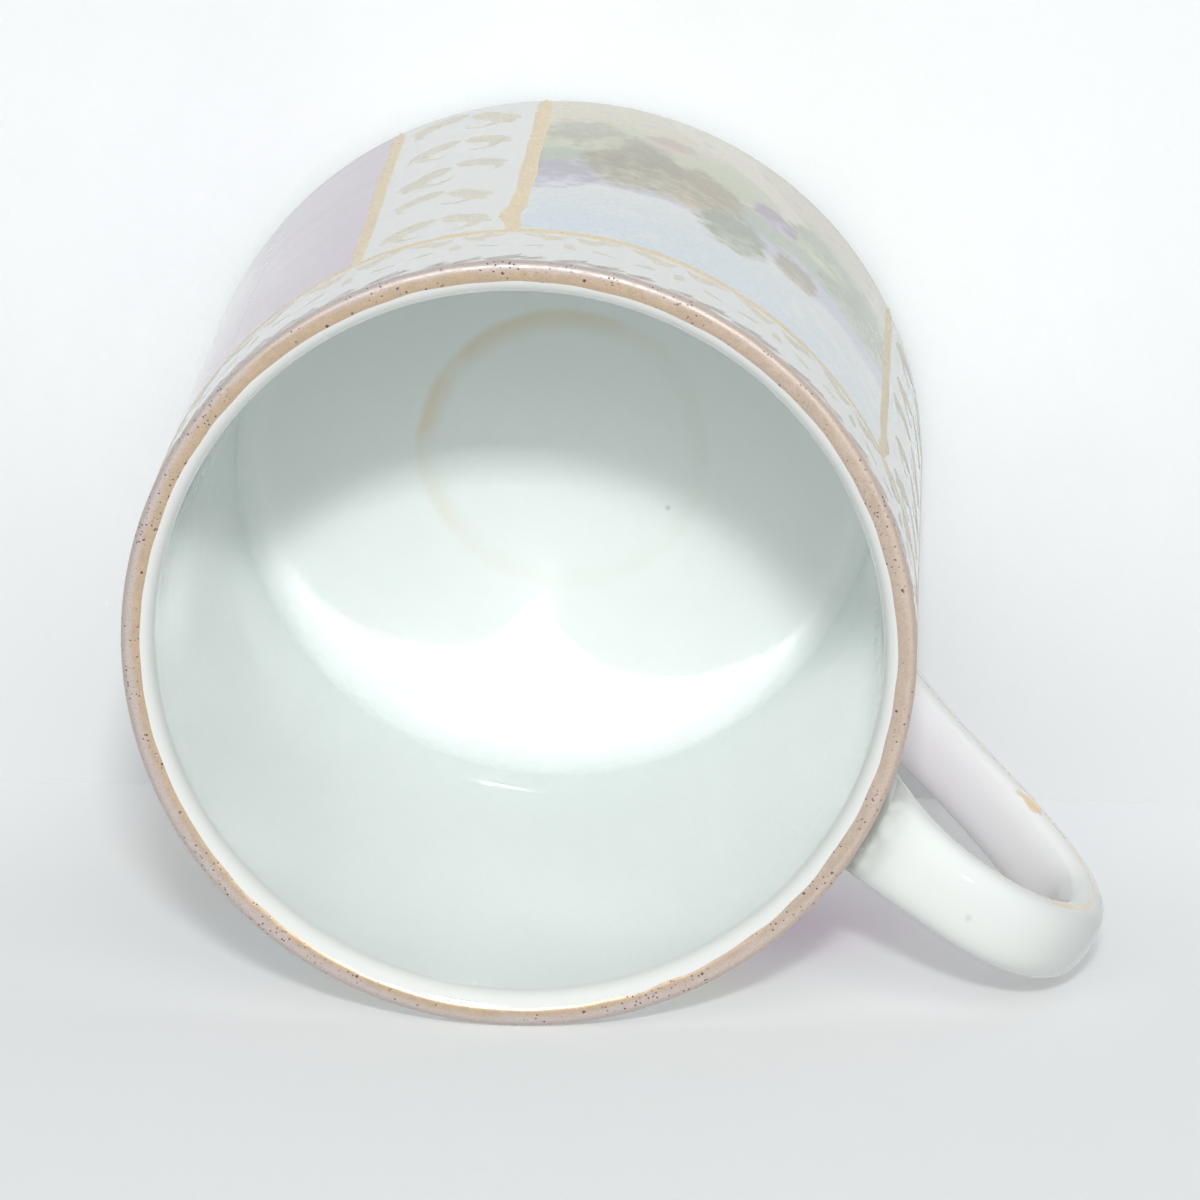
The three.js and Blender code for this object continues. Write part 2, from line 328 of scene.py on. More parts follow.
def paintedGlaze():
    material, tree, shader = newFinish("paintedGlaze", porcelain["roughness"])
    point, radius, turn, height = cupPlace(tree)
    outside = ramp(tree, radius, wallRadius - 1.4, wallRadius - 0.9)
    fromSide = calc(tree, "SUBTRACT", calc(tree, "ABSOLUTE", turn), 90.0)
    fold = calc(tree, "ABSOLUTE", fromSide)  # the same on all four quarters of the wall
    along = calc(tree, "MULTIPLY", fromSide, arcPerDegree)
    belowCollar = ramp(tree, height, panels["collarHeight"] + 0.15, panels["collarHeight"] - 0.15)
    aboveFoot = ramp(tree, height, 1.6, 3.2)
    panelMask = calc(tree, "MULTIPLY", calc(tree, "MULTIPLY", belowCollar, aboveFoot), outside)

    aboveBase = ramp(tree, height, 2.4, 3.4)
    belowLip = ramp(tree, height, cupHeight - 1.0, cupHeight - 2.2)
    notOutside = calc(tree, "SUBTRACT", 1.0, outside)
    inside = calc(tree, "MULTIPLY", calc(tree, "MULTIPLY", aboveBase, belowLip), notOutside)
    shadeNoise = cloud(tree, point, 0.05, 2.0)
    white = tint(tree, shadeNoise, porcelain["white"], porcelain["warmWhite"])
    # painted light: the inside takes a lighter white than the outside and the lip
    white = tint(tree, inside, white, porcelain["insideLitWhite"])
    streaks = cloud(tree, calcVector(tree, "MULTIPLY", point, (0.16, 0.16, 1.0)), 0.32, 3.0, 0.6)
    streakShare = ramp(tree, streaks, 0.42, 0.76, 0.0, 0.85)
    lustre = tint(tree, streakShare, panels["lustre"], panels["lustreStreak"])
    lustreEdge = ramp(tree, fold, panels["lustreStart"] - 0.3, panels["lustreStart"] + 0.3)
    paintEdge = ramp(tree, fold, panels["paintedHalf"] + 0.3, panels["paintedHalf"] - 0.3)
    colour = tint(tree, calc(tree, "MULTIPLY", lustreEdge, panelMask), white, lustre)
    scene = landscape(tree, point, along, height)
    colour = tint(tree, calc(tree, "MULTIPLY", paintEdge, panelMask), colour, scene)

    # the dried coffee ring on the floor inside, darkest on one side, with a sharper outer edge
    off = calcVector(tree, "SUBTRACT", point, (*stain["middle"], 0))
    offX, offY, _ = splitXyz(tree, off)
    reach = flatLength(tree, offX, offY)
    drift = cloud(tree, point, 0.09, 2.0)
    fromRing = calc(tree, "SUBTRACT", calc(tree, "MULTIPLY_ADD", drift, 1.6, reach), stain["radius"] + 0.8)
    outerSide = ramp(tree, fromRing, stain["width"] * 0.6, 0.0)
    innerSide = ramp(tree, fromRing, -stain["width"] * 1.7, 0.0)
    ring = calc(tree, "MULTIPLY", outerSide, innerSide)
    side = calc(tree, "DIVIDE", dot(tree, off, stain["darkSide"]), reach)
    strength = calc(tree, "MULTIPLY", ramp(tree, side, -0.3, 0.95, 0.10, 0.62),
                    ramp(tree, cloud(tree, point, 0.16, 3.0), 0.36, 0.62, 0.22, 1.0))
    onFloor = calc(tree, "MULTIPLY", ramp(tree, height, 8.0, 5.5), inside)
    ringShare = calc(tree, "MULTIPLY", calc(tree, "MULTIPLY", ring, strength), onFloor)
    colour = tint(tree, ringShare, colour, stain["colour"])
    pointX, pointY, _ = splitXyz(tree, point)
    speckX = calc(tree, "SUBTRACT", pointX, stain["speck"][0])
    speckY = calc(tree, "SUBTRACT", pointY, stain["speck"][1])
    fromSpeck = flatLength(tree, speckX, speckY)
    speck = ramp(tree, fromSpeck, stain["speckSize"], stain["speckSize"] * 0.3, 0.0, 0.45)
    colour = tint(tree, calc(tree, "MULTIPLY", speck, onFloor), colour, stain["speckColour"])

    feed(tree, colour, shader.inputs["Base Color"])
    feed(tree, ramp(tree, cloud(tree, point, 0.4, 3.0), 0.3, 0.7, 0.045, 0.085), shader.inputs["Roughness"])
    dent(tree, shader, cloud(tree, point, 0.35, 2.0), porcelain["peel"])
    return material


gilding = dict(
    gold=(0.635, 0.495, 0.36),
    rubbedReflected=(0.58, 0.515, 0.485),  # the outer half: worn thin and dusty, and greyer as a painted reflection of the dim room on its outer slope
    pit=(0.10, 0.06, 0.085),
    roughness=0.30,
    rubbedReflectedEdge=(0.45, 1.0),  # from the outer wall inwards
    wornSide=(-0.52, 0.854, 0.0),
    tan=(0.63, 0.525, 0.445),  # the whole width on the side of the handle: partly the gold's tone, partly a painted reflection
    tanSide=(-0.854, -0.52, 0.0),
)


def rimGold():
    material, tree, shader = newFinish("rimGold", gilding["roughness"], 1.0)
    point, radius, _, _ = cupPlace(tree)
    inward = calc(tree, "SUBTRACT", wallRadius, radius)
    broad = cloud(tree, point, 0.14, 3.0, 0.4)
    brushed = cloud(tree, point, 1.6, 5.0)
    dust = cloud(tree, point, 6.0, 2.0)
    wornMore = calc(tree, "DIVIDE", dot(tree, point, gilding["wornSide"]), wallRadius)
    shifted = calc(tree, "MULTIPLY_ADD", calc(tree, "SUBTRACT", broad, 0.5), 1.4, inward)
    shifted = calc(tree, "MULTIPLY_ADD", wornMore, -0.22, shifted)
    # the outer half is greyer and duller: partly wear, partly a painted reflection of the dim room
    innerGoldShare = ramp(tree, shifted, *gilding["rubbedReflectedEdge"])
    colour = tint(tree, innerGoldShare, gilding["rubbedReflected"], gilding["gold"])
    # partly painted reflection: the handle side of the rim is more tan
    tanShare = calc(tree, "DIVIDE", dot(tree, point, gilding["tanSide"]), wallRadius)
    colour = tint(tree, ramp(tree, tanShare, 0.1, 0.9, 0.0, 0.8), colour, gilding["tan"])
    tone = ramp(tree, dust, 0.34, 0.62, 0.93, 1.03)
    colour = tint(tree, 1.0, colour, joinXyz(tree, tone, tone, tone), "MULTIPLY")
    fineNear, _ = spots(tree, point, 2.6)
    largeNear, _ = spots(tree, point, 1.15)
    crowd = ramp(tree, cloud(tree, point, 0.30, 2.0), 0.45, 0.61)
    fine = calc(tree, "MULTIPLY", ramp(tree, fineNear, 0.24, 0.14), crowd)
    rare = calc(tree, "MULTIPLY", ramp(tree, brushed, 0.46, 0.56), ramp(tree, inward, 0.30, 0.75, 0.2, 1.0))
    large = calc(tree, "MULTIPLY", ramp(tree, largeNear, 0.20, 0.10), rare)
    pits = calc(tree, "MAXIMUM", fine, large)
    colour = tint(tree, pits, colour, gilding["pit"])
    feed(tree, colour, shader.inputs["Base Color"])
    feed(tree, ramp(tree, pits, 0.0, 1.0, 1.0, 0.0), shader.inputs["Metallic"])
    rubbedReflectedShare = calc(tree, "SUBTRACT", 1.0, innerGoldShare)
    dull = calc(tree, "MULTIPLY_ADD", rubbedReflectedShare, 0.20, ramp(tree, brushed, 0.3, 0.7, 0.30, 0.42))
    feed(tree, dull, shader.inputs["Roughness"])
    dent(tree, shader, calc(tree, "MULTIPLY_ADD", pits, -1.5, dust), 0.008)
    return material


def brushedGold(name, gold, worn, metallic):
    # gold laid on the glaze by brush, paler where it has worn thin
    material, tree, shader = newFinish(name, gilding["roughness"], metallic)
    shader.inputs["Specular IOR Level"].default_value = 0.25
    point = aboutAxis(tree)
    wear = cloud(tree, point, 0.8, 4.0)
    grain = cloud(tree, point, 4.0, 3.0)
    colour = tint(tree, ramp(tree, wear, 0.42, 0.66), gold, worn)
    tone = ramp(tree, grain, 0.3, 0.7, 0.92, 1.05)
    colour = tint(tree, 1.0, colour, joinXyz(tree, tone, tone, tone), "MULTIPLY")
    feed(tree, colour, shader.inputs["Base Color"])
    feed(tree, ramp(tree, wear, 0.45, 0.70, metallic, metallic * 0.3), shader.inputs["Metallic"])
    feed(tree, ramp(tree, wear, 0.3, 0.7, 0.26, 0.42), shader.inputs["Roughness"])
    dent(tree, shader, grain, 0.002)
    return material


def handleGlaze():
    material, tree, shader = newFinish("handleGlaze", porcelain["roughness"])
    point, radius, _, _ = cupPlace(tree)
    place = tree.nodes.new("ShaderNodeAttribute")
    place.attribute_name = "strapPlace"
    across, outward, run = splitXyz(tree, place.outputs["Vector"])
    white = tint(tree, cloud(tree, point, 0.06, 2.0), porcelain["handleWhite"], porcelain["handleWarm"])
    # painted light: the lower limb is made whiter, and a painted reflection of the lilac wall lies on it
    # beside the wall
    lower = ramp(tree, run, 1.0, 1.2)
    white = tint(tree, lower, white, porcelain["lowerLitWhite"])
    # painted reflection: the lilac panel's colour laid on the lower limb near the wall
    glow = calc(tree, "MULTIPLY", lower, ramp(tree, radius, wallRadius + 4.5, wallRadius + 0.5, 0.0, 0.45))
    white = tint(tree, glow, white, panels["lustre"])
    # darker in soft patches in the angle where the strap meets the wall
    close = ramp(tree, radius, wallRadius + strap["rootDarkReach"], wallRadius + 0.4)
    darkPatch = calc(tree, "MULTIPLY", close, ramp(tree, cloud(tree, point, 0.32, 2.0), 0.36, 0.62, 0.25, 0.95))
    colour = tint(tree, darkPatch, white, strap["rootDarkColour"])
    # a faint grey spot in the glaze
    spotRun = offBy(tree, run, strap["spotRun"], strap["spotLength"])
    spotAcross = offBy(tree, across, strap["spotAcross"], strap["spotWidth"])
    onTop = ramp(tree, outward, 0.5, 0.8, 0.0, 0.22)
    spot = calc(tree, "MULTIPLY", ramp(tree, flatLength(tree, spotRun, spotAcross), 1.0, 0.2), onTop)
    colour = tint(tree, spot, colour, strap["spotColour"])
    # a thin worn gold line along both edges of the strap, fuller where the strap bends over
    wear = cloud(tree, point, 0.45, 4.0)
    lineAt = ramp(tree, run, 0.15, 0.95, -0.25, 0.04)
    bendIn = calc(tree, "MULTIPLY", ramp(tree, run, 0.60, 0.70), ramp(tree, run, 0.90, 0.80))
    lineHalf = calc(tree, "MULTIPLY_ADD", bendIn, strap["bendLine"], strap["lineHalf"])
    edge = calc(tree, "ABSOLUTE", calc(tree, "SUBTRACT", outward, lineAt))
    lineShade = ramp(tree, calc(tree, "SUBTRACT", edge, lineHalf), 0.06, -0.04)
    line = calc(tree, "MULTIPLY", lineShade, ramp(tree, calc(tree, "ABSOLUTE", across), 0.80, 0.90))
    worn = ramp(tree, calc(tree, "MULTIPLY_ADD", bendIn, 0.10, wear), 0.38, 0.66, 0.45, 0.80)
    gold = calc(tree, "MULTIPLY", line, worn)
    # one dab of gold left on the inner edge of the lower limb
    dabRun = offBy(tree, run, strap["dabRun"], strap["dabLength"])
    dabOut = offBy(tree, outward, strap["dabOutward"], strap["dabWidth"])
    fromDab = flatLength(tree, dabRun, dabOut)
    dabRagged = calc(tree, "MULTIPLY_ADD", calc(tree, "SUBTRACT", wear, 0.5), 1.6, fromDab)
    dab = calc(tree, "MULTIPLY", ramp(tree, dabRagged, 1.05, 0.75), ramp(tree, across, -0.72, -0.85))
    gold = calc(tree, "MAXIMUM", gold, dab)
    colour = tint(tree, gold, colour, strap["lineGold"])
    feed(tree, colour, shader.inputs["Base Color"])
    feed(tree, calc(tree, "MULTIPLY", gold, 0.7), shader.inputs["Metallic"])
    feed(tree, ramp(tree, gold, 0.0, 1.0, porcelain["roughness"], 0.38), shader.inputs["Roughness"])
    dent(tree, shader, cloud(tree, point, 0.35, 2.0), porcelain["peel"])
    return material


def lutingGlaze():
    material, tree, shader = newFinish("lutingGlaze", porcelain["roughness"])
    point = aboutAxis(tree)
    grain = cloud(tree, point, 0.5, 3.0)
    darkPatch = ramp(tree, grain, 0.36, 0.60, 0.10, 0.62)
    feed(tree, tint(tree, darkPatch, luting["white"], luting["darkPatch"]), shader.inputs["Base Color"])
    feed(tree, ramp(tree, grain, 0.3, 0.7, 0.08, 0.22), shader.inputs["Roughness"])
    dent(tree, shader, grain, 0.015)
    return material


# Cup body

body = dict(
    wall=2.5,  # thickness below the lip
    draft=1.0,  # extra wall at the bottom of the inside
    lipDepth=1.7,
    lipWidth=1.45,
    rimRounding=0.45,
    floorHeight=4.3,
    floorCorner=2.5,
    baseEdge=2.2,
    footTop=27.1,
    footOuter=26.6,
    footInner=24.2,
    footHeight=0.8,
    footEdge=0.3,  # rounding of the unglazed ring
    recess=1.6,
    columns=256,
)


def bodyProfile():
    # radius and height, from the middle of the underside over the wall and the lip
    # to the middle of the floor inside
    b = body
    innerTop = wallRadius - b["wall"]
    cornerX = innerTop - b["draft"] - b["floorCorner"]
    ground = np.stack([np.linspace(0.6, b["footInner"] - 0.5, 14), np.full(14, b["recess"])], -1)
    floorX = np.linspace(cornerX, 0.6, 16)[1:]
    floor = np.stack([floorX, np.full(len(floorX), b["floorHeight"])], -1)
    wallZ = np.linspace(b["footHeight"] + b["baseEdge"], cupHeight - b["rimRounding"], 40)
    outer = np.stack([np.full(len(wallZ), wallRadius), wallZ], -1)[1:-1]
    innerZ = np.linspace(cupHeight - b["lipDepth"], b["floorHeight"] + b["floorCorner"], 40)
    innerX = np.interp(innerZ, innerZ[::-1][[0, -1]], [innerTop - b["draft"], innerTop])
    inner = np.stack([innerX, innerZ], -1)[1:-1]
    foot = b["footEdge"]
    base = b["baseEdge"]
    rounding = b["rimRounding"]
    lip = (b["lipWidth"], b["lipDepth"])
    corner = b["floorCorner"]
    return np.concatenate([
        ground,
        arc((b["footInner"] + foot, foot), (foot, foot), 190, 270, 6),
        arc((b["footOuter"] - foot, foot), (foot, foot), 270, 345, 6),
        [(b["footTop"], b["footHeight"])],
        arc((wallRadius - base, b["footHeight"] + base), (base, base), -90, 0, 14),
        outer,
        arc((wallRadius - rounding, cupHeight - rounding), (rounding, rounding), 0, 90, 12),
        arc((innerTop + lip[0], cupHeight - lip[1]), lip, 90, 180, 14),
        inner,
        arc((cornerX, b["floorHeight"] + corner), (corner, corner), 0, -90, 20),
        floor,
    ])


def makeBody():
    # the profile carried round the axis, with a fan at each end
    profile = bodyProfile()
    rows, columns = len(profile), body["columns"]
    turn = np.linspace(0, 2 * np.pi, columns, endpoint=False)
    rings = roundAxis(profile[:, :1], turn, profile[:, 1:]).reshape(-1, 3)
    poles = np.array([[axisX, 0, profile[0, 1]], [axisX, 0, profile[-1, 1]]])
    column = np.arange(columns)
    after = (column + 1) % columns
    first, last = rows * columns, rows * columns + 1
    bottom = np.stack([np.full(columns, first), after, column], -1)
    top = np.stack([np.full(columns, last), column + first - columns, after + first - columns], -1)
    faces = gridFaces(rows, columns).tolist() + bottom.tolist() + top.tolist()
    points = np.concatenate([rings, poles])
    makePiece("porcelainBody", points, faces, paintedGlaze(), "cup_body")


# Gilding on the rim

rim = dict(
    face=1.45,  # width on top, from the outer wall inwards
    skirt=0.5,  # height on the wall below the rounding
    lift=0.03,
    sink=0.12,
    unevenness=0.06,
    rows=22,
    columns=360,
)


def rimCurve(length):
    # the rim's section by arc length: up the wall, round the edge, in along the top and
    # over the start of the lip's ellipse. The second array is the outward direction there
    rounding = body["rimRounding"]
    quarter = rounding * np.pi / 2
    angle = np.clip(length, 0, quarter) / rounding
    normal = np.stack([np.cos(angle), np.sin(angle)], -1)
    up = np.minimum(length, 0)
    inward = np.maximum(length - quarter, 0)
    overLip = np.maximum(rounding + inward - body["wall"] + body["lipWidth"], 0)
    level = np.sqrt(1 - (overLip / body["lipWidth"]) ** 2)
    slope = body["lipDepth"] / body["lipWidth"] ** 2 * overLip / level
    centre = np.array([wallRadius - rounding, cupHeight - rounding])
    place = centre + rounding * normal + np.stack([-inward, up - body["lipDepth"] * (1 - level)], -1)
    tilted = np.stack([normal[..., 0] - slope, normal[..., 1]], -1)
    return place, tilted / np.linalg.norm(tilted, axis=-1, keepdims=True)


def makeRim():
    # a thin shell over the rim's section, whose two edges wander, carried round the axis
    turn = np.linspace(0, 2 * np.pi, rim["columns"], endpoint=False)
    quarter = body["rimRounding"] * np.pi / 2
    start = -rim["skirt"] + wobble(turn, rim["unevenness"] * 3.0, (9, 60), 3)
    end = quarter + rim["face"] - body["rimRounding"] + wobble(turn, rim["unevenness"], (7, 50), 8)
    share = np.linspace(0, 1, rim["rows"])[:, None]
    length = start + (end - start) * share
    place, normal = rimCurve(length)
    crown = (1 - (2 * share - 1) ** 8)[..., None]
    over = place + normal * (rim["lift"] * crown)
    under = (place - normal * rim["sink"])[::-1]
    section = np.concatenate([over, under])
    points = roundAxis(section[..., 0], turn, section[..., 1])
    faces = gridFaces(2 * rim["rows"], rim["columns"], closedAlong=True).tolist()
    makePiece("rimGilding", points, faces, rimGold(), "gilt_rim")


# Handle

strap = dict(
    thickness=3.9,
    squareness=2.5,
    upperWidth=6.8,
    lowerWidth=5.6,
    upperRoot=cupHeight - 9.6,  # height of the middle line at the wall
    upperAngle=57.5,
    upperPull=13.4,
    lowerRoot=11.9,
    lowerAngle=51.0,
    lowerPull=14.3,
    tipHeight=cupHeight - 14.4,
    tipPullUp=11.5,
    tipPullDown=11.4,
    flare=1.8,
    flareLength=9.0,
    rootDepth=4.0,
    bury=0.6,  # how far the root goes into the wall
    dabRun=1.42,  # place of the dab of gold on the lower limb
    dabOutward=-0.32,
    dabLength=0.046,
    dabWidth=0.30,
    lineGold=(0.84, 0.68, 0.44),
    lineHalf=0.07,
    bendLine=0.12,  # added to the line where the strap bends over
    spotRun=0.447,
    spotAcross=0.13,
    spotLength=0.012,
    spotWidth=0.14,
    spotColour=(0.35, 0.36, 0.36),
    rootDarkReach=3.6,
    rootDarkColour=(0.34, 0.34, 0.30),
    rows=200,
    columns=56,
)


def limbControls(rootHeight, rootAngle, rootPull, tipPull):
    # four control points of distance from the axis and height, from inside the wall to the tip
    angle = np.radians(rootAngle)
    back = strap["rootDepth"] / np.cos(angle)
    tip = wallRadius + handleReach - strap["thickness"] / 2
    return np.array([
        (wallRadius - strap["rootDepth"], rootHeight - back * np.sin(angle)),
        (wallRadius + rootPull * np.cos(angle), rootHeight + rootPull * np.sin(angle)),
        (tip, strap["tipHeight"] + tipPull),
        (tip, strap["tipHeight"]),
    ])


def cubic(controls, share):
    # a cubic curve and its direction
    s = share[..., None]
    a, b, c, d = controls
    place = a * (1 - s) ** 3 + 3 * b * s * (1 - s) ** 2 + 3 * c * s ** 2 * (1 - s) + d * s ** 3
    slope = 3 * (b - a) * (1 - s) ** 2 + 6 * (c - b) * s * (1 - s) + 3 * (d - c) * s ** 2
    return place, slope / np.linalg.norm(slope, axis=-1, keepdims=True)


upperLimb = limbControls(strap["upperRoot"], strap["upperAngle"], strap["upperPull"], strap["tipPullUp"])
lowerLimb = limbControls(strap["lowerRoot"], strap["lowerAngle"], strap["lowerPull"], -strap["tipPullDown"])


def strapPoint(run, angle, growth=0.0):
    # run goes 0 to 1 down the upper limb and 1 to 2 back along the lower one. The section is a
    # rounded rectangle, a superellipse, that is square to the path and flares near the wall
    run, angle = np.broadcast_arrays(run, angle)
    upper = (run <= 1)[..., None]
    placeUp, slopeUp = cubic(upperLimb, np.clip(run, 0, 1))
    placeDown, slopeDown = cubic(lowerLimb, np.clip(2 - run, 0, 1))
    place = np.where(upper, placeUp, placeDown)
    slope = np.where(upper, slopeUp, -slopeDown)
    tipWidth = (strap["upperWidth"] + strap["lowerWidth"]) / 2
    width = np.interp(run, [0, 1, 2], [strap["upperWidth"], tipWidth, strap["lowerWidth"]])
    outside = np.maximum(place[..., 0] - wallRadius, 0)
    flare = strap["flare"] * np.maximum(0, 1 - outside / strap["flareLength"]) ** 2 + growth
    power = 2 / strap["squareness"]
    across = np.sign(np.cos(angle)) * np.abs(np.cos(angle)) ** power
    outward = np.sign(np.sin(angle)) * np.abs(np.sin(angle)) ** power
    lift = (strap["thickness"] + flare) / 2 * outward
    distance = place[..., 0] - slope[..., 1] * lift
    height = place[..., 1] + slope[..., 0] * lift
    points = np.stack([axisX - distance, (width + flare) / 2 * across, height], -1)
    return points, across, outward


def fromAxis(points):
    return np.hypot(points[..., 0] - axisX, points[..., 1])


def runAtWall(angle, radius, growth, upper):
    # where each line along the strap crosses a cylinder round the cup's axis
    run = np.linspace(0, 0.6, 900)[:, None]
    run = run if upper else 2 - run
    distance = fromAxis(strapPoint(run, angle, growth)[0])
    crossing = np.argmax(distance >= radius, axis=0)
    columns = np.arange(len(angle))
    low, high = distance[crossing - 1, columns], distance[crossing, columns]
    share = (radius - low) / (high - low)
    return run[crossing - 1, 0] + share * (run[crossing, 0] - run[crossing - 1, 0])


def makeHandle():
    # the strap's section carried along both limbs, between its two places in the wall
    angle = np.linspace(0, 2 * np.pi, strap["columns"], endpoint=False)
    start = runAtWall(angle, wallRadius - strap["bury"], 0.0, True)
    end = runAtWall(angle, wallRadius - strap["bury"], 0.0, False)
    run = start + (end - start) * np.linspace(0, 1, strap["rows"])[:, None]
    points, across, outward = strapPoint(run, angle)
    rows, columns = run.shape
    caps = [list(range(columns)), list(range((rows - 1) * columns, rows * columns))]
    faces = gridFaces(rows, columns).tolist() + caps
    piece = makePiece("earHandle", points, faces, handleGlaze(), "handle")
    place = piece.data.attributes.new("strapPlace", "FLOAT_VECTOR", "POINT")
    place.data.foreach_set("vector", np.stack([across, outward, run], -1).ravel())


# Slip at the two roots

luting = dict(
    bead=1.7,  # added to the strap's width and thickness at the wall
    height=1.3,
    white=(0.77, 0.79, 0.77),
    darkPatch=(0.42, 0.42, 0.38),
    rows=10,
)


def makeLuting(name, replaced, upper):
    # a hollow fillet: its growth falls and its distance from the wall rises along a quarter circle
    angle = np.linspace(0, 2 * np.pi, strap["columns"], endpoint=False)
    quarter = np.linspace(0, np.pi / 2, luting["rows"])
    growths = [luting["bead"], *(luting["bead"] * (1 - np.sin(quarter)))]
    radii = [wallRadius - 0.3, *(wallRadius + luting["height"] * (1 - np.cos(quarter)))]
    rings = [strapPoint(runAtWall(angle, radius, growth, upper), angle, growth)[0]
             for radius, growth in zip(radii, growths)]
    points = np.stack(rings)
    rows, columns = points.shape[:2]
    caps = [list(range(columns)), list(range((rows - 1) * columns, rows * columns))]
    faces = gridFaces(rows, columns).tolist() + caps
    makePiece(name, points, faces, bpy.data.materials["lutingGlaze"], replaced)


# Gilt lines and scrolls on the wall

brush = dict(
    lift=0.03,
    sink=0.10,
    lineSides=8,
    strokeSides=4,
    strokeSteps=16,
)


def stroke(start, heading, length, curlStart, curlEnd, width):
    # a brush stroke whose curl, in degrees per millimetre, changes evenly along it;
    # the rows hold place along the wall, height and half width
    share = np.linspace(0, 1, brush["strokeSteps"])
    turned = length * (curlStart * share + (curlEnd - curlStart) * share ** 2 / 2)
    direction = np.radians(heading + turned)
    step = length / (brush["strokeSteps"] - 1)
    dx = np.cumsum(np.cos(direction)) * step
    dz = np.cumsum(np.sin(direction)) * step
    half = width / 2 * np.clip(np.sin(np.pi * share ** 0.7), 0.05, 1) ** 0.8
    return np.stack([start[0] + dx - dx[0], start[1] + dz - dz[0], half], -1)


def leaf(stem, share, turn, length, curl, width):
    # a short stroke that springs from a longer one
    at = int(share * (brush["strokeSteps"] - 2))
    ahead = stem[at + 1, :2] - stem[at, :2]
    heading = np.degrees(np.arctan2(ahead[1], ahead[0])) + turn
    return stroke(stem[at, :2], heading, length, curl, curl * 0.4, width)


def makeRibbons(name, strokes, finish, sides, closedAlong=False):
    # flat lens-shaped sections square to each stroke, wrapped round the wall
    strokes = np.asarray(strokes)
    count, steps = strokes.shape[:2]
    path = strokes[..., :2]
    ahead = np.roll(path, -1, 1) - np.roll(path, 1, 1) if closedAlong else np.gradient(path, axis=1)
    if closedAlong:
        ahead[:, [0, -1]] = ahead[:, [1, -2]]
    ahead = ahead / np.maximum(np.linalg.norm(ahead, axis=-1, keepdims=True), 1e-9)
    angle = np.linspace(0, 2 * np.pi, sides, endpoint=False)
    offset = strokes[..., 2:] * np.cos(angle)
    along = path[..., :1] - ahead[..., 1:] * offset
    height = path[..., 1:] + ahead[..., :1] * offset
    depth = np.where(np.sin(angle) > 0, brush["lift"] * np.sin(angle), brush["sink"] * np.sin(angle))
    points = roundAxis(wallRadius + depth, along / wallRadius, height)
    one = gridFaces(steps, sides, closedAlong)
    starts = np.arange(count)[:, None, None] * steps * sides
    faces = (one + starts).reshape(-1, 4).tolist()
    if not closedAlong:
        ends = np.stack([np.arange(sides), np.arange(sides) + (steps - 1) * sides])
        faces += (ends + starts).reshape(-1, sides).tolist()
    makePiece(name, points, faces, finish)


def repeated(motif, places, flips, sizes):
    # copies of a motif at each place, turned over left to right and scaled as asked
    copies = np.repeat(np.asarray(motif)[None], len(places), 0)
    copies = copies * np.asarray(sizes)[:, None, None, None]
    copies[..., 0] = copies[..., 0] * np.asarray(flips)[:, None, None]
    copies[..., :2] += np.asarray(places)[:, None, None, :]
    return copies.reshape(-1, *copies.shape[2:])


def panelScroll(lean):
    # the right half of one spray of the white panels, drawn from its middle line outwards;
    # the lean, from -1 to 1, makes each drawing a little different
    stem = stroke((0.1, 0.4 * lean), 14 + 10 * lean, 6.6 + 0.9 * lean, 3, 50 + 12 * lean, 1.15)
    return [
        stem,
        leaf(stem, 0.04, -34, 3.2 - 0.5 * lean, 30, 1.45),
        leaf(stem, 0.26 + 0.06 * lean, -36, 2.8, 26 - 8 * lean, 1.35),
        leaf(stem, 0.48, -40, 2.2 + 0.4 * lean, 26, 1.10),
        leaf(stem, 0.12, 44, 3.2 + 0.6 * lean, -30, 1.30),
        leaf(stem, 0.36 - 0.08 * lean, 50, 2.0, -40, 1.00),
    ]


def collarScroll():
    # the right half of one pair of C scrolls under the gilt circle, with leaves towards the rim
    stem = stroke((0.35, 0.7), 52, 6.2, -30, -62, 0.90)
    return [
        stem,
        stroke((2.7, 1.5), 186, 1.5, -10, -40, 1.35),
        leaf(stem, 0.08, 40, 2.4, -20, 0.85),
        leaf(stem, 0.30, 34, 2.6, -30, 0.90),
        stroke((0.1, 3.4), 94, 1.9, -8, -30, 0.80),
        stroke((2.0, 4.4), 12, 2.0, 24, -40, 0.75),
    ]


def rimFeather():
    # one feather of the dark border: three strokes that lie along the rim and lift away from it
    return [
        stroke((0.0, 0.0), 190, 3.0, -2, 8, 0.85),
        stroke((-0.7, -0.15), 208, 2.0, -6, 20, 0.66),
        stroke((-1.5, -0.3), 220, 1.4, 0, 26, 0.46),
    ]


decor = dict(
    frameWidth=1.3,
    frameBulge=0.5,  # the frame swells towards the white panel just below the gilt circle
    bulgeBelow=5.0,
    bulgeLength=2.0,
    uprightFoot=2.4,
    edgeWidth=1.15,
    circleWidth=1.2,
    firstRow=5.2,
    rowPitch=9.2,
    rowCount=5,
    collarCount=22,
    collarGap=0.6,  # from the gilt circle up to the C scrolls
    featherCount=72,
    featherDrop=1.15,  # from the top of the rim down to the feathers
    # golds: full colour, worn colour, metallic share
    lineGold=((0.86, 0.71, 0.47), (0.85, 0.74, 0.55), 0.15),
    thinGold=((0.81, 0.745, 0.62), (0.79, 0.77, 0.70), 0.08),
    darkGold=((0.48, 0.45, 0.44), (0.68, 0.66, 0.64), 0.10),
)


